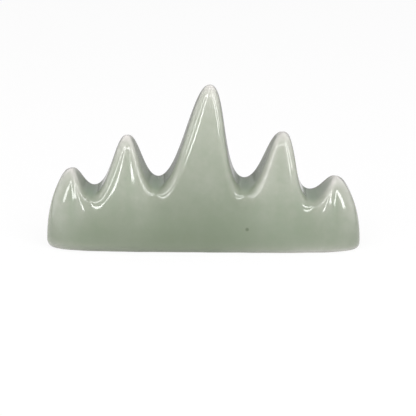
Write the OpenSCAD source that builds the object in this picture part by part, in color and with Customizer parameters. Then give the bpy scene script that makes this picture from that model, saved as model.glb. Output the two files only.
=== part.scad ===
// Five-peak brush rest in glazed porcelain.
// A hollow cast body, a slab let into its underside and a fired coat of glaze.
// X runs along the row of peaks, Y from front to back, and Z is up from the foot.
// Heights and lengths are over the glaze unless a comment says otherwise.

/* [Footprint] */
// Depth from front to back
depth = 31; // [22:0.5:36]
// Squareness of the foot's outline, where 2 is an ellipse
plan_square = 4.6; // [3:0.1:6]
// Round of the foot's edge at the left end
foot_round_left = 3; // [1.2:0.1:3.6]
// Round of the foot's edge at the right end
foot_round_right = 2; // [1.2:0.1:3.6]

/* [Places along the length] */
// Left end to the tip of the first peak
left_end = 9.7; // [8:0.1:13]
// First peak to second peak
first_pitch = 21.2; // [17:0.1:28]
// Second peak to the main peak
second_pitch = 31.2; // [24:0.1:38]
// Main peak to fourth peak
third_pitch = 27.7; // [22:0.1:34]
// Fourth peak to fifth peak
fourth_pitch = 20.4; // [17:0.1:28]
// Tip of the fifth peak to the right end
right_end = 9.8; // [8:0.1:13]

/* [Peaks] */
// Height of the first peak
first_peak = 29.2; // [26:0.1:36]
// Height of the second peak
second_peak = 42.2; // [33:0.1:52]
// Height of the main peak
main_peak = 61.7; // [48:0.1:76]
// Height of the fourth peak
fourth_peak = 43.8; // [33:0.1:54]
// Height of the fifth peak
fifth_peak = 26.5; // [25:0.1:34]
// Radius of the first peak's tip, seen from the front
first_tip = 1.1; // [1:0.1:3.5]
// Radius of the second peak's tip
second_tip = 1.3; // [1:0.1:3]
// Radius of the main peak's tip
main_tip = 1.7; // [1.2:0.1:3]
// Radius of the fourth peak's tip
fourth_tip = 2; // [1.2:0.1:3.5]
// Radius of the fifth peak's tip
fifth_tip = 1.1; // [1:0.1:3.5]

/* [Saddles that hold the brushes] */
// Height of the first saddle's floor
first_saddle = 20.8; // [16:0.1:25]
// Height of the second saddle's floor
second_saddle = 24.1; // [18:0.1:31]
// Height of the third saddle's floor
third_saddle = 23.7; // [18:0.1:31]
// Height of the fourth saddle's floor
fourth_saddle = 19.4; // [16:0.1:24]
// Radius of the first saddle's floor, seen from the front
first_floor = 3.3; // [2.5:0.1:6]
// Radius of the second saddle's floor
second_floor = 3.2; // [2.5:0.1:6]
// Radius of the third saddle's floor
third_floor = 3.7; // [2.5:0.1:6]
// Radius of the fourth saddle's floor
fourth_floor = 4.3; // [2.5:0.1:6]
// Where the first saddle lies between its peaks, as a share of their pitch
first_low = 0.373; // [0.3:0.001:0.7]
// Where the second saddle lies between its peaks
second_low = 0.365; // [0.3:0.001:0.7]
// Where the third saddle lies between its peaks
third_low = 0.491; // [0.3:0.001:0.7]
// Where the fourth saddle lies between its peaks
fourth_low = 0.559; // [0.3:0.001:0.7]

/* [Sections across the row] */
// How much the sides lean in below the line from tip to tip
side_lean = 0.35; // [0.2:0.01:0.45]
// How sharply the sides turn in at the crest, where 3 is soft and 12 is sharp
side_crown = 9; // [3:0.5:12]
// How round the crest is from front to back, where 0.5 is round and 0.1 is flat
side_turn = 0.15; // [0.1:0.01:0.35]
// Where the two ends lean in, where 1 is all the way up and more is higher up
end_bend = 1.9; // [1.4:0.1:3]
// How much further the two ends pull in near their tips
end_pull = 0.45; // [0:0.01:0.7]

/* [Cast body] */
// Wall of the body round the slab
wall = 4; // [3:0.1:4.5]
// Least width of bare foot between its edge's round and the slab
foot_flat = 1.2; // [0.8:0.1:1.6]
// Porcelain between a saddle's floor and the hollow below it
roof = 3.6; // [2.5:0.1:5]
// How far the hollow rises into a peak, as a share of the peak's rise
core_rise = 0.4; // [0.2:0.01:0.5]

/* [Base slab] */
// Thickness of the slab
slab_t = 3.5; // [2.5:0.1:5]
// Slip-filled joint all round the slab
slab_joint = 0.1; // [0.05:0.01:0.3]
// Diameter of the vent hole that lets the hollow breathe in the kiln
vent_d = 4.5; // [3:0.1:8]
// Place of the vent hole along the length
vent_x = 0; // [-30:0.5:30]

/* [Glaze] */
// Thickness of the glaze on the walls
glaze_t = 0.45; // [0.3:0.01:0.6]
// Thickness of the glaze where it runs thin on the tips
glaze_tip_t = 0.3; // [0.2:0.01:0.5]
// Thickness of the glaze where it pools in the saddles
glaze_pool_t = 0.6; // [0.4:0.01:0.8]
// Thickness of the glaze at its lower edge
glaze_edge_t = 0.2; // [0.15:0.01:0.3]
// Height at which the glaze was wiped off above the foot
glaze_line = 0.4; // [0.35:0.01:0.8]

/* [Hidden] */

glaze_color = [0.68, 0.73, 0.66];
porcelain_color = [0.88, 0.86, 0.81];
slab_color = [0.82, 0.79, 0.73];

length = left_end + first_pitch + second_pitch + third_pitch + fourth_pitch + right_end;
body_half_len = length / 2 - glaze_t;
body_half_dep = depth / 2 - glaze_t;
hollow_half_len = body_half_len - wall;
hollow_half_dep = body_half_dep - wall;

first_x = left_end - length / 2;
second_x = first_x + first_pitch;
main_x = second_x + second_pitch;
fourth_x = main_x + third_pitch;
fifth_x = fourth_x + fourth_pitch;

// The crest passes through nine knots, peak and saddle by turns, level at each.
knot_x = [
    first_x,
    first_x + first_low * first_pitch,
    second_x,
    second_x + second_low * second_pitch,
    main_x,
    main_x + third_low * third_pitch,
    fourth_x,
    fourth_x + fourth_low * fourth_pitch,
    fifth_x
];
knot_radius = [
    first_tip, first_floor, second_tip, second_floor, main_tip,
    third_floor, fourth_tip, fourth_floor, fifth_tip
];
glazed_height = [
    first_peak, first_saddle, second_peak, second_saddle, main_peak,
    third_saddle, fourth_peak, fourth_saddle, fifth_peak
];
last_knot = len(knot_x) - 1;

function is_peak(i) = i % 2 == 0;
function per_knot(at_peak, at_saddle) = [for (i = [0:last_knot]) is_peak(i) ? at_peak : at_saddle];

body_height = glazed_height - per_knot(glaze_tip_t, glaze_pool_t);

// The hollow follows the crest below the saddles and reaches part way up each peak.
function lower_saddle(i) = min(
    body_height[i == 0 ? 1 : i - 1],
    body_height[i == last_knot ? last_knot - 1 : i + 1]
);
hollow_height = [
    for (i = [0:last_knot])
        is_peak(i)
            ? lower_saddle(i) - roof + core_rise * (body_height[i] - lower_saddle(i))
            : body_height[i] - roof
];

// Mesh counts
step_rise = 4.5; // rise covered by one more step of a flank
least_steps = 4; // steps on the flattest flank
end_ribs = 11; // ribs that fan round each end, between front and back
outer_row_count = 13; // rows between the foot's round and the crest
hollow_row_count = 6; // rows between the slab and the hollow's roof
glaze_row = 1; // row of the foot that lies at the glaze's lower edge
mid_round = 0.4; // place of the row between that edge and the top of the foot's round
end_pull_power = 3; // keeps the ends' further pull to their upper half
row_crowding = 2.3; // crowds the rows towards the crest, where the section turns
bore_sides = 48;
through = 1; // how far a cut runs past a face

// A flank between two knots is a cubic curve with level ends. Its handles give
// each knot the same radius on both sides.
level_radius = 1.5; // radius at a level end, times the rise, over the handle squared
handle_limit = 0.95; // longest handle, as a share of the flank's width
function handle(radius, rise, width) =
    min(sqrt(radius * rise / level_radius), handle_limit * width);
function ease(t) = t * t * (3 - 2 * t);
function flank_x(i, t) =
    let (
        width = knot_x[i + 1] - knot_x[i],
        rise = abs(glazed_height[i + 1] - glazed_height[i]),
        x1 = knot_x[i] + handle(knot_radius[i], rise, width),
        x2 = knot_x[i + 1] - handle(knot_radius[i + 1], rise, width),
        s = 1 - t
    )
    s * s * s * knot_x[i] + 3 * s * s * t * x1 + 3 * s * t * t * x2 + t * t * t * knot_x[i + 1];
function flank_steps(i) =
    least_steps + ceil(abs(glazed_height[i + 1] - glazed_height[i]) / step_rise);

// A station is a place on the crest: its x, and its count of knots from the left.
stations = [
    for (i = [0:last_knot - 1])
        let (steps = flank_steps(i))
        for (j = [0:steps - 1])
            [flank_x(i, j / steps), i + ease(j / steps)],
    [knot_x[last_knot], last_knot]
];
station_count = len(stations);

// Value of a list with one entry for each knot, at a station
function along(values, knots) =
    let (i = min(floor(knots), last_knot - 1), share = knots - i)
    values[i] + share * (values[i + 1] - values[i]);

// Outline of the foot: half depth at x, and half length at y
function half_depth_at(x, half_len, half_dep) =
    half_dep * pow(max(0, 1 - pow(abs(x) / half_len, plan_square)), 1 / plan_square);
function half_length_at(y, half_len, half_dep) =
    half_len * pow(max(0, 1 - pow(abs(y) / half_dep, plan_square)), 1 / plan_square);

// A rib runs from the foot to the crest:
// [knots from the left, x of its top, foot point, how much of it is end and not side].
// The ribs go round the form from the left, along the front and back along the rear.
function side_ribs(side, half_len, half_dep) = [
    for (s = stations)
        [s[1], s[0], [s[0], side * half_depth_at(s[0], half_len, half_dep)], 0]
];
function end_fan(side, half_len, half_dep) =
    let (
        knots = side < 0 ? 0 : last_knot,
        top_x = knot_x[knots],
        reach = half_depth_at(top_x, half_len, half_dep)
    )
    [
        for (i = [1:end_ribs])
            let (turn = 180 * i / (end_ribs + 1), y = -side * reach * cos(turn))
            [knots, top_x, [side * half_length_at(y, half_len, half_dep), y], pow(sin(turn), 2)]
    ];
function reversed(list) = [for (i = [len(list) - 1:-1:0]) list[i]];
function all_ribs(half_len, half_dep) = concat(
    side_ribs(-1, half_len, half_dep),
    end_fan(1, half_len, half_dep),
    reversed(side_ribs(1, half_len, half_dep)),
    end_fan(-1, half_len, half_dep)
);
rib_count = 2 * station_count + 2 * end_ribs;

// The station at the top of rib k
function top_station(k) =
    k < station_count ? k
    : k < station_count + end_ribs ? station_count - 1
    : k < 2 * station_count + end_ribs ? 2 * station_count + end_ribs - 1 - k
    : 0;

// Heights of the line from tip to tip, at the knots
function tip_line(heights) = [
    for (i = [0:last_knot]) is_peak(i) ? heights[i] : (heights[i - 1] + heights[i + 1]) / 2
];

// Share of the way from a rib's top to its foot point that is left at height z
foot_top = max(foot_round_left, foot_round_right);
function share_at(rib, z, heights) =
    let (
        above_foot = max(0, z - foot_top),
        up = min(1, above_foot / (along(heights, rib[0]) - foot_top)),
        under_line = 1 - above_foot / (along(tip_line(heights), rib[0]) - foot_top),
        side = pow(max(0, under_line), side_lean) * pow(1 - pow(up, side_crown), side_turn),
        end = sqrt((1 - pow(up, end_bend)) * (1 - end_pull * pow(up, end_pull_power)))
    )
    side + rib[3] * (end - side);
function form_point(rib, z, heights) =
    let (share = share_at(rib, z, heights))
    [rib[1] + share * (rib[2][0] - rib[1]), share * rib[2][1], z];

// Rows of points above start_z, crowded towards the crest
function upper_rows(ribs, count, start_z, heights) = [
    for (j = [1:count])
        [
            for (rib = ribs)
                let (
                    top = along(heights, rib[0]),
                    start = pow(1 - start_z / top, 1 / row_crowding),
                    left = start * (1 - j / (count + 1))
                )
                form_point(rib, top * (1 - pow(left, row_crowding)), heights)
        ]
];
function crest_row(heights) = [for (s = stations) [s[0], 0, along(heights, s[1])]];

// Round of the foot's edge: its height at x, and how far it has turned in at z
function foot_radius(x) =
    foot_round_left + (x / length + 0.5) * (foot_round_right - foot_round_left);
function turned_in(z, radius) =
    min(radius, wall - foot_flat) * (1 - sqrt(max(0, 1 - pow(1 - z / radius, 2))));
function foot_point(rib, z, inset) =
    let (
        out = [rib[2][0] - rib[1], rib[2][1]],
        point = rib[2] - out * (inset / norm(out))
    )
    [point[0], point[1], z];
function foot_levels(radius) = [0, glaze_line, glaze_line + mid_round * (radius - glaze_line), radius];

// Body surface, from the foot up, then the crest
body_ribs = all_ribs(body_half_len, body_half_dep);
body_rows = concat(
    [
        for (j = [0:len(foot_levels(1)) - 1])
            [
                for (rib = body_ribs)
                    let (radius = foot_radius(rib[2][0]), z = foot_levels(radius)[j])
                    foot_point(rib, z, turned_in(z, radius))
            ]
    ],
    upper_rows(body_ribs, outer_row_count, foot_top, body_height)
);
body_crest = crest_row(body_height);

// Hollow surface: upright walls round the slab, then the hollow's roof
hollow_ribs = all_ribs(hollow_half_len, hollow_half_dep);
hollow_rows = concat(
    [for (z = [0, slab_t]) [for (rib = hollow_ribs) foot_point(rib, z, 0)]],
    upper_rows(hollow_ribs, hollow_row_count, slab_t, hollow_height)
);
hollow_crest = crest_row(hollow_height);

// Outward direction at each point of the body, from its neighbours
function unit(v) = v / norm(v);
function row_or_crest(j, k) =
    j < len(body_rows) ? body_rows[j][k] : body_crest[top_station(k)];
function outward(j, k) =
    let (
        next = (k + 1) % rib_count,
        last = (k + rib_count - 1) % rib_count,
        round_about = body_rows[j][next] - body_rows[j][last],
        upward = row_or_crest(j + 1, k) - body_rows[max(j - 1, 0)][k]
    )
    unit(cross(round_about, upward));
function crest_outward(i) =
    let (
        at_end = i == 0 || i == station_count - 1,
        run = body_crest[min(i + 1, station_count - 1)] - body_crest[max(i - 1, 0)]
    )
    at_end ? [0, 0, 1] : unit([-run[2], 0, run[0]]);

// Glaze thickness: even on the walls, thin on tips, thick in the saddles
function glaze_at(j, knots) =
    let (
        climb = pow((j - glaze_row) / (len(body_rows) - glaze_row), 2),
        top = along(per_knot(glaze_tip_t, glaze_pool_t), knots)
    )
    j == glaze_row ? glaze_edge_t : glaze_t + climb * (top - glaze_t);
glaze_rows = [
    for (j = [glaze_row:len(body_rows) - 1])
        [
            for (k = [0:rib_count - 1])
                body_rows[j][k] + glaze_at(j, body_ribs[k][0]) * outward(j, k)
        ]
];
glaze_crest = [
    for (i = [0:station_count - 1])
        body_crest[i] + along(per_knot(glaze_tip_t, glaze_pool_t), stations[i][1]) * crest_outward(i)
];

// Vertex numbers of a row, and of the crest as the row that every rib ends in
function row_ids(first, j) = [for (k = [0:rib_count - 1]) first + j * rib_count + k];
function crest_ids(first, rows) =
    [for (k = [0:rib_count - 1]) first + rows * rib_count + top_station(k)];

// Triangles between a lower and an upper row, seen from outside
function band(low, high) = [
    for (k = [0:rib_count - 1])
        let (n = (k + 1) % rib_count)
        each concat(
            high[k] == high[n] ? [] : [[low[k], high[k], high[n]]],
            low[k] == low[n] ? [] : [[low[k], high[n], low[n]]]
        )
];
function skin(first, rows) = [
    for (j = [0:rows - 1])
        each band(row_ids(first, j), j + 1 < rows ? row_ids(first, j + 1) : crest_ids(first, rows))
];
function inside_out(faces) = [for (f = faces) [f[2], f[1], f[0]]];
function flat_list(rows) = [for (row = rows) each row];

module porcelain_body() {
    outer = concat(flat_list(body_rows), body_crest);
    inner = concat(flat_list(hollow_rows), hollow_crest);
    color(porcelain_color)
        polyhedron(
            points = concat(outer, inner),
            faces = concat(
                skin(0, len(body_rows)),
                inside_out(skin(len(outer), len(hollow_rows))),
                band(row_ids(len(outer), 0), row_ids(0, 0))
            ),
            convexity = 8
        );
}

module base_slab() {
    mouth = [for (point = hollow_rows[0]) [point[0], point[1]]];
    color(slab_color)
        difference() {
            linear_extrude(slab_t)
                polygon([
                    for (k = [0:rib_count - 1])
                        let (
                            next = mouth[(k + 1) % rib_count],
                            last = mouth[(k + rib_count - 1) % rib_count],
                            run = next - last
                        )
                        mouth[k] + slab_joint * [-run[1], run[0]] / norm(run)
                ]);
            translate([vent_x, 0, -through])
                cylinder(d = vent_d, h = slab_t + 2 * through, $fn = bore_sides);
        }
}

module celadon_glaze() {
    covered = [for (j = [glaze_row:len(body_rows) - 1]) body_rows[j]];
    outer = concat(flat_list(glaze_rows), glaze_crest);
    inner = concat(flat_list(covered), body_crest);
    color(glaze_color)
        polyhedron(
            points = concat(outer, inner),
            faces = concat(
                skin(0, len(glaze_rows)),
                inside_out(skin(len(outer), len(covered))),
                band(row_ids(len(outer), 0), row_ids(0, 0))
            ),
            convexity = 8
        );
}

porcelain_body();
base_slab();
celadon_glaze();
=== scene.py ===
import math
import bpy
import numpy as np
from mathutils import Matrix, Vector, noise


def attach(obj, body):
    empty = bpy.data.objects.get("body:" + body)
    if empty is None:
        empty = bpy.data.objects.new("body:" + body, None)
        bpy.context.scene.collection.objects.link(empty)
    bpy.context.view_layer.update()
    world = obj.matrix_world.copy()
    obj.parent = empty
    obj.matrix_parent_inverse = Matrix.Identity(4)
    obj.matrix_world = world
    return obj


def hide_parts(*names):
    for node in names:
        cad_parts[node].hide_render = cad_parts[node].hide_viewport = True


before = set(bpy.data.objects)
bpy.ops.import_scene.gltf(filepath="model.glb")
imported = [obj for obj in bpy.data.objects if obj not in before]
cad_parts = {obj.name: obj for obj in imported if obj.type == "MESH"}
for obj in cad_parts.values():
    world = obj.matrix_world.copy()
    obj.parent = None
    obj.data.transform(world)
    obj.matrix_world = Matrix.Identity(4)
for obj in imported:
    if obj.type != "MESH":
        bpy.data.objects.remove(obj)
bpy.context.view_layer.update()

mm = 0.001
print("frame loaded:", ", ".join(sorted(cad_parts)))

# The mountain form, in millimetres over the glaze. X runs along the peaks, Y goes back, Z is up.
mountain = {
    "length": 120.0,
    "depth": 31.0,
    "planSquare": 4.6,  # squareness of the foot's outline, 2 is an ellipse
    "footRound": (3.0, 2.0),  # round of the foot's edge at the left and right ends
    "peakX": (-50.3, -29.1, 2.1, 29.8, 50.2),
    "peakHeight": (29.2, 42.2, 61.7, 43.8, 26.5),
    "peakTip": (1.1, 1.3, 1.7, 2.0, 1.1),  # radius of each tip, seen from the front
    "saddleShare": (0.373, 0.365, 0.491, 0.559),  # place of each saddle between its peaks
    "saddleHeight": (20.8, 24.1, 23.7, 19.4),
    "saddleFloor": (3.3, 3.2, 3.7, 4.3),
    "sideLean": 0.35,  # how the sides lean in below the line from tip to tip
    "sideCrown": (9.0, 0.15),  # how sharply they turn in at the crest
    "endLean": (1.9, 3.0, 0.45),  # bend, crown and share of the ends' lean
    "flankCurve": 1.5,  # a cubic's handle is sqrt(radius * rise / 1.5) for a given tip radius
    "longestHandle": 0.95,  # share of a flank's width
}


def peaksAndSaddles(atPeaks, atSaddles):
    knots = np.empty(9)
    knots[0::2] = atPeaks
    knots[1::2] = atSaddles
    return knots


peakX = np.array(mountain["peakX"])
saddleX = peakX[:-1] + np.array(mountain["saddleShare"]) * np.diff(peakX)
knotX = peaksAndSaddles(peakX, saddleX)
knotRadius = peaksAndSaddles(mountain["peakTip"], mountain["saddleFloor"])
knotHeight = peaksAndSaddles(mountain["peakHeight"], mountain["saddleHeight"])
knotCount = np.arange(9)


def along(values, knots):
    return np.interp(knots, knotCount, values)


def crestStations(spacing):
    # x and knot count at each place on the crest; every flank is a cubic curve with level ends
    xs, knots = [], []
    for i in range(8):
        width = knotX[i + 1] - knotX[i]
        rise = abs(knotHeight[i + 1] - knotHeight[i])
        handles = np.sqrt(knotRadius[i:i + 2] * rise / mountain["flankCurve"])
        handles = np.minimum(handles, mountain["longestHandle"] * width)
        steps = math.ceil(math.hypot(width, rise) / spacing)
        t = np.arange(steps) / steps
        s = 1 - t
        xs.append(s**3 * knotX[i] + 3 * s * s * t * (knotX[i] + handles[0])
                  + 3 * s * t * t * (knotX[i + 1] - handles[1]) + t**3 * knotX[i + 1])
        knots.append(i + t * t * (3 - 2 * t))
    return np.append(np.concatenate(xs), knotX[-1]), np.append(np.concatenate(knots), 8.0)


def outlineAt(u, halfAlong, halfAcross):
    # half width of the foot's outline, at u along the other axis
    square = mountain["planSquare"]
    return halfAcross * np.maximum(0, 1 - np.abs(u / halfAlong)**square)**(1 / square)


def makeRibs(spacing, fanRibs, halfLen, halfDep):
    # ribs run from the foot to the crest: front left to right, right end, back right to left, left end
    stationX, stationKnots = crestStations(spacing)
    last = len(stationX) - 1
    edge = outlineAt(stationX, halfLen, halfDep)
    turn = np.pi * np.arange(1, fanRibs + 1) / (fanRibs + 1)
    rightY = -edge[-1] * np.cos(turn)
    leftY = edge[0] * np.cos(turn)
    fan = np.ones(fanRibs)
    fanPart = 1 - np.cos(turn)**2
    top = np.concatenate([np.arange(last + 1), last * fan, np.arange(last, -1, -1), 0 * fan])
    return {
        "knots": np.concatenate([stationKnots, 8 * fan, stationKnots[::-1], 0 * fan]),
        "topX": np.concatenate([stationX, stationX[-1] * fan, stationX[::-1], stationX[0] * fan]),
        "footX": np.concatenate([stationX, outlineAt(rightY, halfDep, halfLen),
                                 stationX[::-1], -outlineAt(leftY, halfDep, halfLen)]),
        "footY": np.concatenate([-edge, rightY, edge[::-1], leftY]),
        "top": top.astype(int),  # the crest station each rib ends at
        "endPart": np.concatenate([0 * stationX, fanPart, 0 * stationX, fanPart]),
        "stationX": stationX,
        "stationKnots": stationKnots,
    }


def formShare(ribs, z, heights):
    # how much of the foot's outline is left at height z on each rib, 1 at the foot and 0 at the crest
    footTop = max(mountain["footRound"])
    tipLine = heights.copy()
    tipLine[1::2] = (heights[:-1:2] + heights[2::2]) / 2
    aboveFoot = np.maximum(0, z - footTop)
    up = np.clip(aboveFoot / (along(heights, ribs["knots"]) - footTop), 0, 1)
    underLine = np.maximum(0, 1 - aboveFoot / (along(tipLine, ribs["knots"]) - footTop))
    crown, turnIn = mountain["sideCrown"]
    side = underLine**mountain["sideLean"] * (1 - up**crown)**turnIn
    bend, crown, share = mountain["endLean"]
    end = np.sqrt((1 - up**bend) * (1 - share * up**crown))
    return side + ribs["endPart"] * (end - side)


def formPoints(ribs, up, heights):
    # up is 0 at the foot and 1 at the crest
    z = up * along(heights, ribs["knots"])
    share = formShare(ribs, z, heights)
    x = ribs["topX"] + share * (ribs["footX"] - ribs["topX"])
    return np.stack([x, share * ribs["footY"], z], axis=-1)


def footRoundAt(x):
    left, right = mountain["footRound"]
    return left + (x / mountain["length"] + 0.5) * (right - left)


traceSteps = 700  # steps in which each rib is traced before its points are spaced evenly
tracePower = 5  # the steps close up towards the crest, where the wall turns in


def raiseRows(ribs, startZ, footRows, wallRows, heights, footInset=0.0):
    # rows of points round the foot's edge and up the wall, as far as the row below the crest
    fine = 1 - np.linspace(1, 0, traceSteps)**tracePower
    dense = formPoints(ribs, fine[:, None] * np.ones(len(ribs["topX"])), heights)
    radius = footRoundAt(ribs["footX"])
    outward = np.stack([ribs["footX"] - ribs["topX"], ribs["footY"]], axis=-1)
    outward /= np.linalg.norm(outward, axis=-1, keepdims=True)
    rows = np.zeros((footRows + wallRows, len(radius), 3))
    for k, r in enumerate(radius):
        rib = dense[:, k]
        z0 = startZ[k]
        if footRows:
            turn = np.linspace(math.acos(1 - min(z0, r) / r), math.pi / 2, footRows)
            z = r * (1 - np.cos(turn))
            inset = np.minimum(r, footInset) * (1 - np.sin(turn))
            for axis in (0, 1):
                onWall = np.interp(z, rib[:, 2], rib[:, axis])
                rows[:footRows, k, axis] = onWall - inset * outward[k, axis]
            rows[:footRows, k, 2] = z
            z0 = r
        run = np.append(0, np.cumsum(np.linalg.norm(np.diff(rib, axis=0), axis=1)))
        first = np.interp(z0, rib[:, 2], run)
        steps = first + (run[-1] - first) * np.arange(1, wallRows + 1) / (wallRows + 1)
        for axis in range(3):
            rows[footRows:, k, axis] = np.interp(steps, run, rib[:, axis])
    return rows


def crestPoints(ribs, heights):
    z = along(heights, ribs["stationKnots"])
    return np.stack([ribs["stationX"], 0 * z, z], axis=-1)


def unitVectors(v):
    return v / np.maximum(np.linalg.norm(v, axis=-1, keepdims=True), 1e-9)


def outwardDirections(rows, crest, top):
    # outward direction at every point of the rows, and along the crest
    grid = np.concatenate([rows, crest[top][None]])
    roundAbout = np.roll(grid, -1, axis=1) - np.roll(grid, 1, axis=1)
    upward = np.empty_like(grid)
    upward[1:-1] = grid[2:] - grid[:-2]
    upward[0] = grid[1] - grid[0]
    upward[-1] = grid[-1] - grid[-2]
    atRows = unitVectors(np.cross(roundAbout, upward))[:-1]
    runAlong = np.gradient(crest, axis=0)
    atCrest = unitVectors(np.stack([-runAlong[:, 2], 0 * runAlong[:, 0], runAlong[:, 0]], axis=-1))
    atCrest[[0, -1]] = (0, 0, 1)
    return atRows, atCrest


def rowBand(low, high):
    # faces between two closed rows of vertex numbers, seen from outside
    nextLow, nextHigh = np.roll(low, -1), np.roll(high, -1)
    faces = []
    for a, b, c, d in zip(low, nextLow, nextHigh, high):
        face = [int(a), int(b), int(c), int(d)]
        faces.append([v for n, v in enumerate(face) if v != face[n - 1]])
    return faces


def skinFaces(first, rowCount, top):
    # faces of a whole surface whose last row closes on the crest
    ribCount = len(top)
    faces = []
    for j in range(rowCount):
        low = first + j * ribCount + np.arange(ribCount)
        high = first + rowCount * ribCount + top if j == rowCount - 1 else low + ribCount
        faces += rowBand(low, high)
    return faces


def insideOut(faces):
    return [face[::-1] for face in faces]


def meshPiece(name, points, faces, values=None):
    # a smooth closed mesh in metres, with one named value for each point if given
    mesh = bpy.data.meshes.new(name)
    mesh.from_pydata((points * mm).tolist(), [], faces)
    for key, numbers in (values or {}).items():
        field = mesh.attributes.new(key, "FLOAT", "POINT")
        field.data.foreach_set("value", np.asarray(numbers, dtype=np.float32))
    mesh.validate()
    mesh.shade_smooth()
    piece = bpy.data.objects.new(name, mesh)
    bpy.context.scene.collection.objects.link(piece)
    return piece


def softNoise(points, size, seed):
    # smooth noise from -1 to 1 whose lumps are about size millimetres across
    shift = Vector((seed * 17.3, seed * 5.1, seed * 9.7))
    flat = points.reshape(-1, 3) / size
    return np.array([noise.noise(Vector(p) + shift) for p in flat]).reshape(points.shape[:-1])


def smoothField(field, rounds):
    # evens out a value over the rows and ribs
    for _ in range(rounds):
        padded = np.concatenate([field[:1], field, field[-1:]])
        upDown = padded[2:] + padded[:-2]
        field = (upDown + np.roll(field, 1, axis=1) + np.roll(field, -1, axis=1)) / 4
    return field


# The cast body, its hollow and its bare foot
castBody = {
    "wall": 4.0,
    "roof": 3.6,  # porcelain between a saddle and the hollow
    "coreRise": 0.4,
    "footFlat": 1.2,
    "glazeOver": 0.45,  # glaze on the walls, which the body stands inside
    "glazeOverPeaks": 0.3,
    "glazeOverSaddles": 0.6,
    "ribSpacing": 0.7,
    "fanRibs": 30,
    "footRows": 10,
    "wallRows": 72,
    "hollowRows": 14,
    "mouthSoft": 0.25,  # round of the edge where the underside opens
    "mouthBend": 0.3,  # how far round that edge its middle row stands
}

bodyHalfLen = mountain["length"] / 2 - castBody["glazeOver"]
bodyHalfDep = mountain["depth"] / 2 - castBody["glazeOver"]
bodyHeight = knotHeight - peaksAndSaddles(castBody["glazeOverPeaks"], castBody["glazeOverSaddles"])
bodyRibs = makeRibs(castBody["ribSpacing"], castBody["fanRibs"], bodyHalfLen, bodyHalfDep)
ribCount = len(bodyRibs["topX"])
footInset = castBody["wall"] - castBody["footFlat"]


def hollowHeights():
    heights = bodyHeight - castBody["roof"]
    for i in range(0, 9, 2):
        low = min(bodyHeight[j] for j in (i - 1, i + 1) if 0 <= j <= 8)
        heights[i] = low - castBody["roof"] + castBody["coreRise"] * (bodyHeight[i] - low)
    return heights


def buildBody(slabTop):
    outerRows = raiseRows(bodyRibs, np.zeros(ribCount), castBody["footRows"], castBody["wallRows"],
                          bodyHeight, footInset)
    outerCrest = crestPoints(bodyRibs, bodyHeight)
    halfLen, halfDep = bodyHalfLen - castBody["wall"], bodyHalfDep - castBody["wall"]
    ribs = makeRibs(castBody["ribSpacing"], castBody["fanRibs"], halfLen, halfDep)
    mouth = np.stack([ribs["footX"], ribs["footY"], 0 * ribs["footX"]], axis=-1)
    outward = np.stack([ribs["footX"] - ribs["topX"], ribs["footY"], 0 * ribs["footX"]], axis=-1)
    outward = unitVectors(outward)
    soft = castBody["mouthSoft"]
    lift = np.array([0, 0, 1.0])
    mouthRows = [mouth + soft * outward, mouth + castBody["mouthBend"] * soft * (outward + lift),
                 mouth + soft * lift, mouth + slabTop * lift]
    heights = hollowHeights()
    roofRows = raiseRows(ribs, np.full(ribCount, slabTop), 0, castBody["hollowRows"], heights)
    innerRows = np.concatenate([mouthRows, roofRows])
    points = np.concatenate([outerRows.reshape(-1, 3), outerCrest,
                             innerRows.reshape(-1, 3), crestPoints(ribs, heights)])
    innerFirst = outerRows.shape[0] * ribCount + len(outerCrest)
    faces = skinFaces(0, len(outerRows), bodyRibs["top"])
    faces += insideOut(skinFaces(innerFirst, len(innerRows), ribs["top"]))
    faces += rowBand(innerFirst + np.arange(ribCount), np.arange(ribCount))
    return meshPiece("castBody", points, faces)


# The fired glaze: a thin closed coat from the wiped line above the foot to the tips
glazeCoat = {
    "wipeLine": (0.36, 0.62),  # lowest and highest the wiped edge wanders above the table
    "wipeWander": 7.0,
    "edge": 0.14,  # thickness at the wiped edge, which rolls up to the full coat
    "edgeRoll": 1.1,
    "wall": 0.45,
    "peaks": 0.3,
    "saddles": 0.6,
    "thinnest": 0.05,
    "handFinish": ((24.0, 0.1), (9.0, 0.035)),  # size and depth of the unevenness of hand finishing
    "spread": 14,  # how far colour evens out between thin and thick places
    "bends": (-0.5, 0.8),  # hollowest and sharpest bend that counts, per millimetre
    "flatDepth": 0.5,  # colour depth where the form is flat, and how fast a bend changes it
    "depthPerBend": 0.9,
    "leastRun": 1e-4,
}


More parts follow.
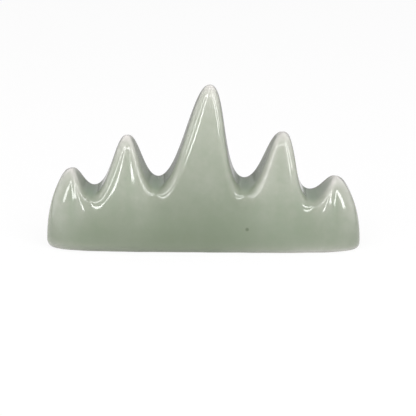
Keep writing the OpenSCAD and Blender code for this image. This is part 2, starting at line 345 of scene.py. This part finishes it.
def buildGlaze():
    footLine = np.stack([bodyRibs["footX"], bodyRibs["footY"], 0 * bodyRibs["footX"]], -1)
    wander = softNoise(footLine, glazeCoat["wipeWander"], 3)
    lowLine, highLine = glazeCoat["wipeLine"]
    startZ = lowLine + (highLine - lowLine) * (0.5 + 0.5 * wander)
    innerRows = raiseRows(bodyRibs, startZ, castBody["footRows"], castBody["wallRows"],
                          bodyHeight, footInset)
    innerCrest = crestPoints(bodyRibs, bodyHeight)
    atRows, atCrest = outwardDirections(innerRows, innerCrest, bodyRibs["top"])
    climb = np.linspace(0, 1, len(innerRows) + 1)[:, None]**2
    knotCoat = peaksAndSaddles(glazeCoat["peaks"], glazeCoat["saddles"])
    topCoat = along(knotCoat, bodyRibs["knots"])
    coat = glazeCoat["wall"] + climb[:-1] * (topCoat - glazeCoat["wall"])
    # the lower edge is rolled by the sponge
    up = np.linalg.norm(innerRows - innerRows[:1], axis=-1) / glazeCoat["edgeRoll"]
    roll = np.sqrt(np.maximum(0, 1 - (1 - np.minimum(up, 1))**2))
    coat = glazeCoat["edge"] + (coat - glazeCoat["edge"]) * roll
    for n, (size, depth) in enumerate(glazeCoat["handFinish"]):
        coat -= depth * roll * (0.5 + 0.5 * softNoise(innerRows, size, n))
    coat = np.maximum(coat, glazeCoat["thinnest"])
    crestCoat = along(knotCoat, bodyRibs["stationKnots"])
    for n, (size, depth) in enumerate(glazeCoat["handFinish"]):
        crestCoat -= depth * (0.5 + 0.5 * softNoise(innerCrest, size, n))
    outerRows = innerRows + coat[..., None] * atRows
    outerCrest = innerCrest + crestCoat[:, None] * atCrest
    depth = colourDepthAndPaintedLight(outerRows, outerCrest)
    points = np.concatenate([outerRows.reshape(-1, 3), outerCrest,
                             innerRows.reshape(-1, 3), innerCrest])
    innerFirst = len(points) // 2
    faces = skinFaces(0, len(outerRows), bodyRibs["top"])
    faces += insideOut(skinFaces(innerFirst, len(innerRows), bodyRibs["top"]))
    faces += rowBand(innerFirst + np.arange(ribCount), np.arange(ribCount))
    return meshPiece("celadonGlaze", points, faces, {"glazeDepthAndPaintedLight": np.tile(depth, 2)})


def bendOf(run, turn):
    return (run * turn).sum(-1) / np.maximum((run * run).sum(-1), glazeCoat["leastRun"])


def colourDepthAndPaintedLight(rows, crest):
    # 0 over convex places, where the glaze runs thin and painted light makes the colour nearly white, 1
    # where it lies deep in hollow ones
    atRows, atCrest = outwardDirections(rows, crest, bodyRibs["top"])
    grid = np.concatenate([rows, crest[bodyRibs["top"]][None]])
    facing = np.concatenate([atRows, atCrest[bodyRibs["top"]][None]])
    run = np.roll(grid, -1, axis=1) - np.roll(grid, 1, axis=1)
    turn = np.roll(facing, -1, axis=1) - np.roll(facing, 1, axis=1)
    bend = bendOf(run, turn)
    bend[1:-1] += bendOf(grid[2:] - grid[:-2], facing[2:] - facing[:-2])
    bend[-1] = bend[-2]
    bend = smoothField(np.clip(bend, *glazeCoat["bends"]), glazeCoat["spread"])
    depth = np.clip(glazeCoat["flatDepth"] - glazeCoat["depthPerBend"] * bend, 0, 1)
    crestDepth = np.zeros(len(crest))
    crestDepth[bodyRibs["top"]] = depth[-1]
    return np.concatenate([depth[:-1].ravel(), crestDepth])


# The slab let into the underside, with its vent hole
baseSlab = {
    "thickness": 3.5,
    "joint": 0.1,  # slip-filled seam all round
    "ventDiameter": 4.5,
    "ventSoft": 0.4,  # round of the vent's rims
    "rimSoft": 0.2,
    "sides": 288,
    "rings": 18,
    "rimRows": 5,  # rows round each rounded rim
    "innerRings": (0.75, 0.5, 0.25),  # rings of the top, as shares of the way out from the vent
    "outlineSteps": 4001,
    "wiped": 0.05,  # depth and size of the unevenness left by wiping the underside
    "wipedSize": 11.0,
}


def buildSlab():
    halfLen = bodyHalfLen - castBody["wall"] - baseSlab["joint"]
    halfDep = bodyHalfDep - castBody["wall"] - baseSlab["joint"]
    sides, thick = baseSlab["sides"], baseSlab["thickness"]
    # evenly spaced points round the outline, and as many round the vent
    fine = np.linspace(0, 2 * np.pi, baseSlab["outlineSteps"])
    power = 2 / mountain["planSquare"]
    outline = np.stack([halfLen * np.sign(np.cos(fine)) * np.abs(np.cos(fine))**power,
                        halfDep * np.sign(np.sin(fine)) * np.abs(np.sin(fine))**power], axis=-1)
    run = np.append(0, np.cumsum(np.linalg.norm(np.diff(outline, axis=0), axis=1)))
    even = np.arange(sides) * run[-1] / sides
    rim = np.stack([np.interp(even, run, outline[:, 0]), np.interp(even, run, outline[:, 1])], axis=-1)
    angle = np.arctan2(rim[:, 1], rim[:, 0])
    vent = baseSlab["ventDiameter"] / 2 * np.stack([np.cos(angle), np.sin(angle)], axis=-1)
    ventOut = unitVectors(vent)
    rimOut = unitVectors(rim * (1 / halfLen**2, 1 / halfDep**2))
    rows = []

    def addRow(flat, z):
        rows.append(np.column_stack([flat, np.full(sides, z)]))

    ventSoft, rimSoft = baseSlab["ventSoft"], baseSlab["rimSoft"]
    quarter = np.linspace(0, np.pi / 2, baseSlab["rimRows"])
    for q in quarter:  # lower rim of the vent
        addRow(vent + ventSoft * (1 - np.cos(q)) * ventOut, ventSoft * (1 - np.sin(q)))
    ventEdge = vent + ventSoft * ventOut
    rimEdge = rim - rimSoft * rimOut
    for share in np.linspace(0, 1, baseSlab["rings"] + 2)[1:-1]:  # underside
        addRow((1 - share) * ventEdge + share * rimEdge, 0.0)
    for q in quarter[::-1]:  # lower edge
        addRow(rim - rimSoft * (1 - np.cos(q)) * rimOut, rimSoft * (1 - np.sin(q)))
    for q in quarter:  # upper edge
        addRow(rim - rimSoft * (1 - np.cos(q)) * rimOut, thick - rimSoft * (1 - np.sin(q)))
    for share in baseSlab["innerRings"]:  # top, inside the hollow
        addRow((1 - share) * ventEdge + share * rimEdge, thick)
    for q in quarter[::-1]:  # upper rim of the vent
        addRow(vent + ventSoft * (1 - np.cos(q)) * ventOut, thick - ventSoft * (1 - np.sin(q)))
    rows = np.array(rows)
    under = slice(len(quarter), len(quarter) + baseSlab["rings"])
    unevenness = softNoise(rows[under], baseSlab["wipedSize"], 5)
    rows[under, :, 2] += baseSlab["wiped"] * (0.5 + 0.5 * unevenness)
    faces = []
    for j in range(len(rows)):
        low = j * sides + np.arange(sides)
        high = (j + 1) % len(rows) * sides + np.arange(sides)
        faces += rowBand(low, high)
    return meshPiece("baseSlab", rows.reshape(-1, 3), faces)


bodyPiece = buildBody(baseSlab["thickness"])
glazePiece = buildGlaze()
slabPiece = buildSlab()
builtPieces = (bodyPiece, glazePiece, slabPiece)
print("pieces built:", *(len(piece.data.vertices) for piece in builtPieces))

pieceJobs = (
    (bodyPiece, "porcelain_body", "porcelain"),
    (glazePiece, "celadon_glaze", "glaze"),
    (slabPiece, "base_slab", "slab"),
)
for piece, node, slotName in pieceJobs:
    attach(piece, "root")
    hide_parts(node)


def paint(colour):
    # linear colour of a tone given as it looks, 0 to 255
    tone = np.array(colour) / 255
    linear = np.where(tone <= 0.04045, tone / 12.92, ((tone + 0.055) / 1.055)**2.4)
    return (*linear.tolist(), 1.0)


def newFinish(name):
    material = bpy.data.materials.new(name)
    material.use_nodes = True
    tree = material.node_tree
    tree.nodes.clear()
    output = tree.nodes.new("ShaderNodeOutputMaterial")
    shader = tree.nodes.new("ShaderNodeBsdfPrincipled")
    tree.links.new(shader.outputs["BSDF"], output.inputs["Surface"])
    return material, tree, shader


def addNode(tree, kind, inputs=None, **settings):
    node = tree.nodes.new("ShaderNode" + kind)
    for key, value in settings.items():
        setattr(node, key, value)
    for key, value in (inputs or {}).items():
        if isinstance(value, bpy.types.NodeSocket):
            tree.links.new(value, node.inputs[key])
        else:
            node.inputs[key].default_value = value
    return node


def noiseOf(tree, place, size, detail=3.0, roughness=0.5, distortion=0.0):
    # noise from about 0 to 1 whose lumps are about size millimetres across
    return addNode(tree, "TexNoise", {"Vector": place, "Scale": 1 / (size * mm), "Detail": detail,
                                      "Roughness": roughness, "Distortion": distortion}).outputs["Fac"]


def spread(tree, value, fromLow, fromHigh, toLow=0.0, toHigh=1.0, smooth=False):
    kind = "SMOOTHSTEP" if smooth else "LINEAR"
    return addNode(tree, "MapRange", {"Value": value, "From Min": fromLow, "From Max": fromHigh,
                                      "To Min": toLow, "To Max": toHigh},
                   interpolation_type=kind, clamp=True).outputs["Result"]


def sums(tree, kind, a, b, clamp=False):
    return addNode(tree, "Math", {0: a, 1: b}, operation=kind, use_clamp=clamp).outputs["Value"]


def blendTones(tree, share, first, second, kind="MIX"):
    node = addNode(tree, "Mix", {0: share}, data_type="RGBA", blend_type=kind)
    for number, tone in ((6, first), (7, second)):
        if isinstance(tone, bpy.types.NodeSocket):
            tree.links.new(tone, node.inputs[number])
        else:
            node.inputs[number].default_value = tone
    return node.outputs[2]


def cellsOf(tree, place, size, channel, chosenSpan):
    # scattered cells about size millimetres apart: which are chosen, and how far from a centre
    cells = addNode(tree, "TexVoronoi", {"Vector": place, "Scale": 1 / (size * mm), "Randomness": 1.0})
    colour = addNode(tree, "SeparateColor", {0: cells.outputs["Color"]})
    return spread(tree, colour.outputs[channel], *chosenSpan), cells.outputs["Distance"]


def bumpOf(tree, height, strength, deep, normal=None):
    # a bump of the given depth in millimetres, over an earlier one if given
    inputs = {"Height": height, "Strength": strength, "Distance": deep * mm}
    if normal:
        inputs["Normal"] = normal
    return addNode(tree, "Bump", inputs).outputs["Normal"]


def toneRamp(tree, value, stops):
    node = addNode(tree, "ValToRGB", {"Fac": value})
    ramp = node.color_ramp
    ramp.interpolation = "B_SPLINE" if len(stops) > 3 else "EASE"
    while len(ramp.elements) < len(stops):
        ramp.elements.new(0.5)
    for element, (place, colour) in zip(ramp.elements, stops):
        element.position = place
        element.color = paint(colour)
    return node.outputs["Color"]


def spotMask(tree, place, spot, radius, soft):
    # 1 inside a round spot on the surface, in millimetres, fading out over soft
    away = addNode(tree, "VectorMath", {0: place, 1: tuple(v * mm for v in spot)}, operation="DISTANCE")
    return spread(tree, away.outputs["Value"], (radius + soft) * mm, (radius - soft) * mm, smooth=True)


# The glaze: greener where it lies deep, nearly white where it runs thin on the tips and where painted
# light falls on them; painted shade darkens it towards the foot
glazeFinish = {
    # tones by depth: the nearly white thin end stands for thin glaze and painted light on the tips and
    # rims
    "tones": ((0.0, (208, 204, 201)), (0.2, (172, 174, 165)),
              (0.5, (132, 138, 123)), (0.85, (114, 137, 110))),
    "cloudSize": 21.0,
    "cloudShare": 0.06,
    "mottleSize": 3.2,
    "mottleShare": 0.035,
    "noiseSpan": (0.3, 0.7),  # the part of the noise's range that is used
    "lowTone": (90, 102, 80),  # painted shade: darker and greener towards the foot, where the lower wall gets less light from above
    "lowMiddle": -12.0,  # it lies deepest a little left of the middle, in millimetres
    "lowReach": (55.0, 10.0),
    "lowShare": (0.45, 0.82),
    "lowTop": (28.0, 50.0),  # how far up it reaches at the ends and under the main peak
    "lowTopReach": (26.0, 6.0),
    "highTone": (206, 205, 197),  # paler higher up: glaze run thin off the peaks, and painted light from above on the upper parts
    "highReach": (18.0, 62.0),
    "highShare": 0.12,
    "roughness": (0.05, 0.11),
    "roughSpan": (0.3, 0.75),
    "ior": 1.56,
    # place, radius and tone of each larger iron spot
    "ironSpots": (((16.3, -14.7, 9.7), 0.6, (82, 92, 72)),
                  ((5.3, -5.3, 56.2), 0.28, (136, 136, 124)),
                  ((-5.9, -8.4, 44.1), 0.28, (118, 122, 106)),
                  ((4.1, -13.6, 20.9), 0.3, (126, 130, 114))),
    "spotSoft": 0.6,  # soft edge of a spot, as a share of its radius
    "spotWobble": (0.7, 0.25, 0.6, 0.55),  # lump size, span and least strength of its unevenness
    # sparse iron specks, most of them tiny
    "speckTone": (96, 100, 82),
    "speckSize": 2.6,
    "speckChosen": (0.93, 0.94),
    "speckRound": (0.075, 0.03),
    "speckShare": 0.45,
    "swell": (5.0, 0.12, 0.12),  # size, strength and depth of the glaze's slow swell and fine peel
    "peel": (0.9, 0.05, 0.02),
}


def makeGlaze():
    look = glazeFinish
    material, tree, shader = newFinish("celadonGlaze")
    place = addNode(tree, "TexCoord").outputs["Object"]
    depth = addNode(tree, "Attribute", attribute_name="glazeDepthAndPaintedLight").outputs["Fac"]
    cloud = noiseOf(tree, place, look["cloudSize"], 2.0)
    mottle = noiseOf(tree, place, look["mottleSize"], 4.0, 0.6)
    cloudPart = spread(tree, cloud, *look["noiseSpan"], -look["cloudShare"], look["cloudShare"])
    mottlePart = spread(tree, mottle, *look["noiseSpan"], -look["mottleShare"], look["mottleShare"])
    depth = sums(tree, "ADD", sums(tree, "ADD", depth, cloudPart), mottlePart, clamp=True)
    # greener deep in hollows, nearly white with painted light on the convex tips and rims
    tone = toneRamp(tree, depth, look["tones"])
    inMm = addNode(tree, "VectorMath", {0: place, "Scale": 1 / mm}, operation="SCALE")
    split = addNode(tree, "SeparateXYZ", {0: inMm.outputs["Vector"]})
    x, height = split.outputs["X"], split.outputs["Z"]
    # painted shade towards the foot, strongest a little left of the middle and reaching highest under
    # the main peak
    fromMiddle = sums(tree, "ABSOLUTE", x, 0.0)
    fromDeepest = sums(tree, "ABSOLUTE", sums(tree, "SUBTRACT", x, look["lowMiddle"]), 0.0)
    lowTop = spread(tree, fromMiddle, *look["lowTopReach"], *look["lowTop"], smooth=True)
    lowShare = spread(tree, fromDeepest, *look["lowReach"], *look["lowShare"], smooth=True)
    low = sums(tree, "MULTIPLY", spread(tree, height, lowTop, 0.0, smooth=True), lowShare)
    tone = blendTones(tree, low, tone, paint(look["lowTone"]))
    # paler higher up: thin glaze and painted light from above
    high = spread(tree, height, *look["highReach"], 0.0, look["highShare"])
    tone = blendTones(tree, high, tone, paint(look["highTone"]))
    chosen, away = cellsOf(tree, place, look["speckSize"], "Red", look["speckChosen"])
    nearCentre = spread(tree, away, *look["speckRound"], smooth=True)
    specks = sums(tree, "MULTIPLY", chosen, nearCentre)
    specks = sums(tree, "MULTIPLY", specks, look["speckShare"])
    tone = blendTones(tree, specks, tone, paint(look["speckTone"]))
    lump, spanLow, spanHigh, least = look["spotWobble"]
    wobble = spread(tree, noiseOf(tree, place, lump, 2.0), spanLow, spanHigh, least, 1.0)
    for spot, radius, colour in look["ironSpots"]:
        mask = spotMask(tree, place, spot, radius, radius * look["spotSoft"])
        tone = blendTones(tree, sums(tree, "MULTIPLY", mask, wobble), tone, paint(colour))
    tree.links.new(tone, shader.inputs["Base Color"])
    roughness = spread(tree, mottle, *look["roughSpan"], *look["roughness"])
    tree.links.new(roughness, shader.inputs["Roughness"])
    shader.inputs["IOR"].default_value = look["ior"]
    normal = None
    for size, strength, deep in (look["swell"], look["peel"]):
        normal = bumpOf(tree, noiseOf(tree, place, size, 2.0), strength, deep, normal)
    tree.links.new(normal, shader.inputs["Normal"])
    return material


# Bare porcelain: the foot, warm where the kiln has flashed it beside the glaze
porcelainFinish = {
    "clay": (226, 220, 207),
    "clayDark": (206, 198, 182),
    "patchSize": 9.0,
    "patchSpan": (0.35, 0.7),
    "flash": (196, 158, 118),
    "flashReach": (0.05, 0.5),
    "flashUneven": (0.2, 0.8, 0.35, 0.9),
    "grain": (150, 138, 118),
    "grainSize": 0.35,
    "grainSpan": (0.2, 0.8),
    "grainShare": 0.22,
    "roughness": (0.62, 0.8),
    "roughSpan": (0.3, 0.7),
    "bump": (0.35, 0.04),
}


def makePorcelain():
    look = porcelainFinish
    material, tree, shader = newFinish("barePorcelain")
    place = addNode(tree, "TexCoord").outputs["Object"]
    grain = noiseOf(tree, place, look["grainSize"], 5.0, 0.65)
    patch = noiseOf(tree, place, look["patchSize"], 3.0)
    dark = spread(tree, patch, *look["patchSpan"])
    tone = blendTones(tree, dark, paint(look["clay"]), paint(look["clayDark"]))
    height = addNode(tree, "SeparateXYZ", {0: place}).outputs["Z"]
    first, last = look["flashReach"]
    flash = spread(tree, height, first * mm, last * mm, smooth=True)
    flash = sums(tree, "MULTIPLY", flash, spread(tree, patch, *look["flashUneven"]))
    tone = blendTones(tree, flash, tone, paint(look["flash"]))
    grainPart = spread(tree, grain, *look["grainSpan"], 0.0, look["grainShare"])
    tone = blendTones(tree, grainPart, tone, paint(look["grain"]), "MULTIPLY")
    tree.links.new(tone, shader.inputs["Base Color"])
    roughness = spread(tree, grain, *look["roughSpan"], *look["roughness"])
    tree.links.new(roughness, shader.inputs["Roughness"])
    tree.links.new(bumpOf(tree, grain, *look["bump"]), shader.inputs["Normal"])
    return material


# The slab's underside, wiped with a damp sponge along its length
slabFinish = {
    "clay": (222, 214, 198),
    "clayDark": (202, 192, 172),
    "patchSize": 14.0,
    "patchSpan": (0.3, 0.7),
    "wipeStretch": (0.08, 1.0, 1.0),
    "wipeSize": 1.1,
    "wipeSpan": (0.35, 0.7),
    "wipeShare": 0.35,
    "grit": (120, 104, 84),
    "gritSize": 1.7,
    "gritChosen": (0.9, 0.91),
    "gritRound": (0.1, 0.05),
    "gritShare": 0.6,
    "grainSize": 0.3,
    "roughness": (0.6, 0.82),
    "roughSpan": (0.3, 0.7),
    "wipeBump": (0.3, 0.06),
    "grainBump": (0.3, 0.03),
}


def makeSlab():
    look = slabFinish
    material, tree, shader = newFinish("wipedSlab")
    place = addNode(tree, "TexCoord").outputs["Object"]
    stretched = addNode(tree, "Mapping", {"Vector": place, "Scale": look["wipeStretch"]})
    wiped = noiseOf(tree, stretched.outputs["Vector"], look["wipeSize"], 4.0, 0.6, 0.4)
    grain = noiseOf(tree, place, look["grainSize"], 5.0, 0.65)
    patch = noiseOf(tree, place, look["patchSize"], 3.0)
    dark = paint(look["clayDark"])
    tone = blendTones(tree, spread(tree, patch, *look["patchSpan"]), paint(look["clay"]), dark)
    wipedPart = spread(tree, wiped, *look["wipeSpan"], 0.0, look["wipeShare"])
    tone = blendTones(tree, wipedPart, tone, dark)
    chosen, away = cellsOf(tree, place, look["gritSize"], "Green", look["gritChosen"])
    grit = sums(tree, "MULTIPLY", chosen, spread(tree, away, *look["gritRound"], smooth=True))
    grit = sums(tree, "MULTIPLY", grit, look["gritShare"])
    tone = blendTones(tree, grit, tone, paint(look["grit"]))
    tree.links.new(tone, shader.inputs["Base Color"])
    roughness = spread(tree, grain, *look["roughSpan"], *look["roughness"])
    tree.links.new(roughness, shader.inputs["Roughness"])
    normal = bumpOf(tree, wiped, *look["wipeBump"])
    tree.links.new(bumpOf(tree, grain, *look["grainBump"], normal), shader.inputs["Normal"])
    return material


glazePiece.data.materials.append(makeGlaze())
bodyPiece.data.materials.append(makePorcelain())
slabPiece.data.materials.append(makeSlab())
print("finishes made")

# Plain white table and soft studio light, in metres and degrees
studio = {
    "tableSize": 30.0,
    "tableDrop": 0.02 * mm,
    "tableTone": (238, 238, 238),
    "tableGlow": 0.9,
    "farTone": (160, 160, 160),
    # how far behind the rest the table turns dark for all but the camera
    "tableFade": (0.03, 0.16),
    "roomTone": (255, 253, 255),
    "roomSeen": 1.0,
    "roomGlow": 0.22,
    "roomShine": 0.15,  # share of the plain background in the glaze's reflections
    # pale walls round the table: turn, rise and brightness of each soft patch
    "walls": ((-135.0, 5.0, 0.4), (-90.0, 5.0, 2.8), (-45.0, 5.0, 1.7), (0.0, 5.0, 0.1),
              (45.0, 5.0, 1.2), (90.0, 5.0, 1.8), (135.0, 5.0, 0.2), (180.0, 5.0, 0.2),
              (-135.0, 30.0, 0.4), (135.0, 30.0, 0.2), (180.0, 30.0, 0.1),
              (180.0, 55.0, 0.15), (135.0, 55.0, 0.6)),
    "wallSpread": 12.0,
    # posts and a bar in front, like a window's frame: turn, width, brightness and foot of each
    "posts": ((-25.0, 0.038, 15.0, 10.0), (-47.0, 0.06, 10.0, 15.0),
              (29.0, 0.045, 13.0, 14.0), (50.0, 0.08, 12.0, 17.0)),
    "frontAway": 0.55,
    "frontLift": 0.03,
    "postTop": 66.0,
    "barRises": (58.0, 61.0),
    "barGlow": 6.0,
    "barParts": 8,
    "barOverlap": 1.02,
    "barThin": 0.5,  # a bar panel's height, as a share of the rises it spans
    "barAim": 0.04,
}


def makeTable():
    half, down = studio["tableSize"] / 2, -studio["tableDrop"]
    corners = [(-half, -half, down), (half, -half, down), (half, half, down), (-half, half, down)]
    mesh = bpy.data.meshes.new("table")
    mesh.from_pydata(corners, [], [(0, 1, 2, 3)])
    table = bpy.data.objects.new("table", mesh)
    bpy.context.scene.collection.objects.link(table)
    material = bpy.data.materials.new("whiteTable")
    material.use_nodes = True
    tree = material.node_tree
    tree.nodes.clear()
    output = tree.nodes.new("ShaderNodeOutputMaterial")
    rays = addNode(tree, "LightPath")
    behind = addNode(tree, "SeparateXYZ", {0: addNode(tree, "TexCoord").outputs["Object"]}).outputs["Y"]
    near, far = studio["tableFade"]
    lit = spread(tree, behind, near, far, 1.0, 0.0, smooth=True)
    shown = sums(tree, "MAXIMUM", rays.outputs["Is Camera Ray"], lit)
    tone = blendTones(tree, shown, paint(studio["farTone"]), paint(studio["tableTone"]))
    matt = addNode(tree, "BsdfDiffuse", {"Color": tone})
    glow = addNode(tree, "Emission", {"Color": (1, 1, 1, 1), "Strength": 1.0})
    mirrored = sums(tree, "MAXIMUM", rays.outputs["Is Glossy Ray"], rays.outputs["Is Transmission Ray"])
    white = sums(tree, "MAXIMUM", rays.outputs["Is Camera Ray"], sums(tree, "MULTIPLY", mirrored, lit))
    seen = addNode(tree, "MixShader", {0: studio["tableGlow"], 1: matt.outputs[0], 2: glow.outputs[0]})
    mixed = addNode(tree, "MixShader", {0: white, 1: matt.outputs[0], 2: seen.outputs[0]})
    tree.links.new(mixed.outputs[0], output.inputs["Surface"])
    mesh.materials.append(material)


def makeRoom():
    world = bpy.data.worlds.new("room")
    bpy.context.scene.world = world
    world.use_nodes = True
    tree = world.node_tree
    tree.nodes.clear()
    output = tree.nodes.new("ShaderNodeOutputWorld")
    direction = addNode(tree, "TexCoord").outputs["Generated"]
    toward = addNode(tree, "VectorMath", {0: direction}, operation="NORMALIZE").outputs["Vector"]
    glow = studio["roomGlow"]
    for turn, rise, strength in studio["walls"]:
        turn, rise = math.radians(turn), math.radians(rise)
        flat = math.cos(rise)
        middle = (math.sin(turn) * flat, -math.cos(turn) * flat, math.sin(rise))
        near = addNode(tree, "VectorMath", {0: toward, 1: middle}, operation="DOT_PRODUCT")
        fall = sums(tree, "SUBTRACT", near.outputs["Value"], 1.0)
        fall = sums(tree, "MULTIPLY", fall, studio["wallSpread"])
        patch = addNode(tree, "Math", {0: fall}, operation="EXPONENT").outputs["Value"]
        glow = sums(tree, "ADD", glow, sums(tree, "MULTIPLY", patch, strength))
    rays = addNode(tree, "LightPath")
    seen = sums(tree, "MAXIMUM", rays.outputs["Is Camera Ray"], rays.outputs["Is Transmission Ray"])
    shine = sums(tree, "MULTIPLY", rays.outputs["Is Glossy Ray"], studio["roomShine"])
    seen = sums(tree, "MAXIMUM", seen, shine)
    soft = addNode(tree, "Background", {"Color": paint(studio["roomTone"]), "Strength": glow})
    plain = addNode(tree, "Background", {"Color": (1, 1, 1, 1), "Strength": studio["roomSeen"]})
    mixed = addNode(tree, "MixShader", {0: seen, 1: soft.outputs[0], 2: plain.outputs[0]})
    tree.links.new(mixed.outputs[0], output.inputs["Surface"])


def addPanel(name, place, aim, size, glow):
    # a soft box seen in the glaze at glow times white
    light = bpy.data.lights.new(name, "AREA")
    light.shape = "RECTANGLE"
    light.size, light.size_y = size
    light.energy = glow * math.pi * size[0] * size[1]
    panel = bpy.data.objects.new(name, light)
    toward = (Vector(aim) - Vector(place)).to_track_quat("-Z", "Y").to_matrix().to_4x4()
    panel.matrix_world = Matrix.Translation(place) @ toward
    panel.visible_camera = False
    bpy.context.scene.collection.objects.link(panel)


def frontPlace(turn, z):
    away = studio["frontAway"]
    return (away * math.sin(turn), -away * math.cos(turn), z)


def riseHeight(degrees):
    return studio["frontAway"] * math.tan(math.radians(degrees))


def makeLights():
    high = riseHeight(studio["postTop"])
    for number, (degrees, width, glow, foot) in enumerate(studio["posts"]):
        low = riseHeight(foot)
        middle = (low + high) / 2 + studio["frontLift"]
        place = frontPlace(math.radians(degrees), middle)
        addPanel("post%d" % number, place, (0, 0, middle), (width, high - low), glow)
    low, high = (riseHeight(rise) for rise in studio["barRises"])
    middle = (low + high) / 2 + studio["frontLift"]
    first, last = studio["posts"][1][0], studio["posts"][3][0]  # the outermost posts
    parts = studio["barParts"]
    width = studio["barOverlap"] * studio["frontAway"] * math.radians(last - first) / parts
    for n in range(parts):
        place = frontPlace(math.radians(first + (last - first) * (n + 0.5) / parts), middle)
        size = (width, studio["barThin"] * (high - low))
        addPanel("bar%d" % n, place, (0, 0, studio["barAim"]), size, studio["barGlow"])


# Camera at the photo's view; lengths in metres, angles in degrees
view = {
    "away": 0.5,
    "rise": 16.0,
    "target": (0.0, 0.0, 0.025),
    "lens": 113.4,
    "aimDown": 1.26,
    "aimRight": 0.19,
    "roll": 0.31,
    "sensor": 36.0,
    "nearest": 0.01,
}


def makeCamera():
    camera = bpy.data.objects.new("camera", bpy.data.cameras.new("camera"))
    camera.data.lens = view["lens"]
    camera.data.sensor_width = view["sensor"]
    camera.data.clip_start = view["nearest"]
    rise = math.radians(view["rise"])
    target = Vector(view["target"])
    place = target + view["away"] * Vector((0, -math.cos(rise), math.sin(rise)))
    straight = (target - place).to_track_quat("-Z", "Y").to_matrix().to_4x4()
    tilt = Matrix.Rotation(math.radians(-view["aimDown"]), 4, "X")
    swing = Matrix.Rotation(math.radians(-view["aimRight"]), 4, "Y")
    roll = Matrix.Rotation(math.radians(view["roll"]), 4, "Z")
    camera.matrix_world = Matrix.Translation(place) @ straight @ tilt @ swing @ roll
    bpy.context.scene.collection.objects.link(camera)
    bpy.context.scene.camera = camera


makeTable()
makeRoom()
makeLights()
makeCamera()
bpy.context.scene.view_settings.view_transform = "Standard"
print("table, light and camera set")
